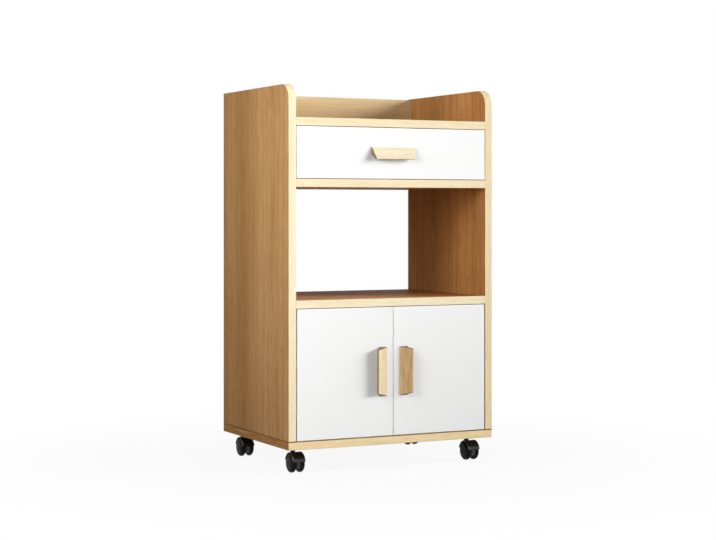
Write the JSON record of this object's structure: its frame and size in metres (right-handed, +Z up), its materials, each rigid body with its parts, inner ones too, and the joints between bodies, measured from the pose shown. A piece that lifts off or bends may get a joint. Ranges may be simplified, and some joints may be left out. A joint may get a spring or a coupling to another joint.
{
  "type": "sideboard",
  "caption": "Small wheeled sideboard: gallery top, flush drawer on roller runners, open bay and a pair of inset doors on concealed hinges, with wedge handles and swivel casters.",
  "frame": {"origin": "on the floor, under the middle of the overall box including the handles", "axes": "+X to the viewer's right facing the doors, +Y to the back, +Z up"},
  "size_m": [0.45, 0.342, 0.749],
  "materials": {
    "oak_board": "light oak grain laminate, satin",
    "white_front": "white melamine-faced board, satin",
    "handle_wood": "solid wood, lacquered",
    "drawer_box_board": "white foil-wrapped board, matt",
    "back_board": "thin white-faced fibreboard, matt",
    "steel": "zinc plated",
    "painted_steel": "white powder coat",
    "cam_zinc": "die-cast zinc, dull",
    "dowel_wood": "fluted beech, plain",
    "caster_plastic": "black moulded plastic, satin",
    "white_plastic": "white nylon"
  },
  "bodies": {
    "cabinet": {"left_side_panel": "oak_board", "right_side_panel": "oak_board", "top_shelf": "oak_board", "drawer_divider_shelf": "oak_board", "middle_shelf": "oak_board", "bottom_board": "oak_board", "gallery_back_rail": "oak_board", "drawer_bay_back_panel": "back_board", "cupboard_back_panel": "back_board", "cam_locks": "cam_zinc", "cam_bolts": "steel", "wooden_dowels": "dowel_wood", "bottom_board_screws": "steel", "caster_inserts": "steel", "caster_stems": "steel", "left_drawer_runner": "painted_steel", "right_drawer_runner": "painted_steel", "hinge_arms": "steel", "hinge_plates": "steel", "magnetic_catch": "white_plastic"},
    "drawer": {"drawer_front": "white_front", "drawer_left_side": "drawer_box_board", "drawer_right_side": "drawer_box_board", "drawer_back": "drawer_box_board", "drawer_bottom": "back_board", "drawer_dowels": "dowel_wood", "drawer_handle": "handle_wood", "left_drawer_rail": "painted_steel", "right_drawer_rail": "painted_steel"},
    "left_runner_roller": {"left_runner_roller": "white_plastic"},
    "left_rail_roller": {"left_rail_roller": "white_plastic"},
    "left_door": {"left_door": "white_front", "left_door_handle": "handle_wood", "left_hinge_cups": "steel", "left_hinge_pins": "steel", "left_strike_plate": "steel"},
    "right_runner_roller": {"right_runner_roller": "white_plastic"},
    "right_rail_roller": {"right_rail_roller": "white_plastic"},
    "right_door": {"right_door": "white_front", "right_door_handle": "handle_wood", "right_hinge_cups": "steel", "right_hinge_pins": "steel", "right_strike_plate": "steel"},
    "front_left_caster": {"front_left_caster_hood": "caster_plastic", "front_left_caster_axle": "steel"},
    "front_left_left_wheel": {"front_left_caster_left_wheel": "caster_plastic"},
    "front_left_right_wheel": {"front_left_caster_right_wheel": "caster_plastic"},
    "front_right_caster": {"front_right_caster_hood": "caster_plastic", "front_right_caster_axle": "steel"},
    "front_right_left_wheel": {"front_right_caster_left_wheel": "caster_plastic"},
    "front_right_right_wheel": {"front_right_caster_right_wheel": "caster_plastic"},
    "rear_left_caster": {"rear_left_caster_hood": "caster_plastic", "rear_left_caster_axle": "steel"},
    "rear_left_left_wheel": {"rear_left_caster_left_wheel": "caster_plastic"},
    "rear_left_right_wheel": {"rear_left_caster_right_wheel": "caster_plastic"},
    "rear_right_caster": {"rear_right_caster_hood": "caster_plastic", "rear_right_caster_axle": "steel"},
    "rear_right_left_wheel": {"rear_right_caster_left_wheel": "caster_plastic"},
    "rear_right_right_wheel": {"rear_right_caster_right_wheel": "caster_plastic"}
  },
  "joints": [
    {"name": "drawer_slide", "type": "slide", "parent": "cabinet", "child": "drawer", "axis": [0, -1, 0], "range_m": [0, 0.19]},
    {"name": "left_runner_roller_turn", "type": "hinge", "parent": "cabinet", "child": "left_runner_roller", "pos_m": [-0.2026, -0.128, 0.59005], "axis": [1, 0, 0], "continuous": true},
    {"name": "left_rail_roller_turn", "type": "hinge", "parent": "drawer", "child": "left_rail_roller", "pos_m": [-0.2026, 0.092, 0.58785], "axis": [1, 0, 0], "continuous": true},
    {"name": "right_runner_roller_turn", "type": "hinge", "parent": "cabinet", "child": "right_runner_roller", "pos_m": [0.2026, -0.128, 0.59005], "axis": [1, 0, 0], "continuous": true},
    {"name": "right_rail_roller_turn", "type": "hinge", "parent": "drawer", "child": "right_rail_roller", "pos_m": [0.2026, 0.092, 0.58785], "axis": [1, 0, 0], "continuous": true},
    {"name": "left_door_hinge", "type": "hinge", "parent": "cabinet", "child": "left_door", "pos_m": [-0.192, -0.1515, 0.191], "axis": [0, 0, -1], "range_deg": [0, 95]},
    {"name": "right_door_hinge", "type": "hinge", "parent": "cabinet", "child": "right_door", "pos_m": [0.192, -0.1515, 0.191], "axis": [0, 0, 1], "range_deg": [0, 95]},
    {"name": "front_left_caster_swivel", "type": "hinge", "parent": "cabinet", "child": "front_left_caster", "pos_m": [-0.194, -0.109, 0.048], "axis": [0, 0, 1], "continuous": true},
    {"name": "front_left_left_wheel_spin", "type": "hinge", "parent": "front_left_caster", "child": "front_left_left_wheel", "pos_m": [-0.2035, -0.1215, 0.0185], "axis": [1, 0, 0], "continuous": true},
    {"name": "front_left_right_wheel_spin", "type": "hinge", "parent": "front_left_caster", "child": "front_left_right_wheel", "pos_m": [-0.1845, -0.1215, 0.0185], "axis": [1, 0, 0], "continuous": true},
    {"name": "front_right_caster_swivel", "type": "hinge", "parent": "cabinet", "child": "front_right_caster", "pos_m": [0.194, -0.109, 0.048], "axis": [0, 0, 1], "continuous": true},
    {"name": "front_right_left_wheel_spin", "type": "hinge", "parent": "front_right_caster", "child": "front_right_left_wheel", "pos_m": [0.1845, -0.1215, 0.0185], "axis": [1, 0, 0], "continuous": true},
    {"name": "front_right_right_wheel_spin", "type": "hinge", "parent": "front_right_caster", "child": "front_right_right_wheel", "pos_m": [0.2035, -0.1215, 0.0185], "axis": [1, 0, 0], "continuous": true},
    {"name": "rear_left_caster_swivel", "type": "hinge", "parent": "cabinet", "child": "rear_left_caster", "pos_m": [-0.194, 0.143, 0.048], "axis": [0, 0, 1], "continuous": true},
    {"name": "rear_left_left_wheel_spin", "type": "hinge", "parent": "rear_left_caster", "child": "rear_left_left_wheel", "pos_m": [-0.2035, 0.1305, 0.0185], "axis": [1, 0, 0], "continuous": true},
    {"name": "rear_left_right_wheel_spin", "type": "hinge", "parent": "rear_left_caster", "child": "rear_left_right_wheel", "pos_m": [-0.1845, 0.1305, 0.0185], "axis": [1, 0, 0], "continuous": true},
    {"name": "rear_right_caster_swivel", "type": "hinge", "parent": "cabinet", "child": "rear_right_caster", "pos_m": [0.194, 0.143, 0.048], "axis": [0, 0, 1], "continuous": true},
    {"name": "rear_right_left_wheel_spin", "type": "hinge", "parent": "rear_right_caster", "child": "rear_right_left_wheel", "pos_m": [0.1845, 0.1305, 0.0185], "axis": [1, 0, 0], "continuous": true},
    {"name": "rear_right_right_wheel_spin", "type": "hinge", "parent": "rear_right_caster", "child": "rear_right_right_wheel", "pos_m": [0.2035, 0.1305, 0.0185], "axis": [1, 0, 0], "continuous": true}
  ],
  "couplings": [
    {"joint": "left_runner_roller_turn", "follows": "drawer_slide", "rad_per_m": 117.65},
    {"joint": "left_rail_roller_turn", "follows": "drawer_slide", "rad_per_m": 117.65},
    {"joint": "right_runner_roller_turn", "follows": "drawer_slide", "rad_per_m": 117.65},
    {"joint": "right_rail_roller_turn", "follows": "drawer_slide", "rad_per_m": 117.65}
  ]
}
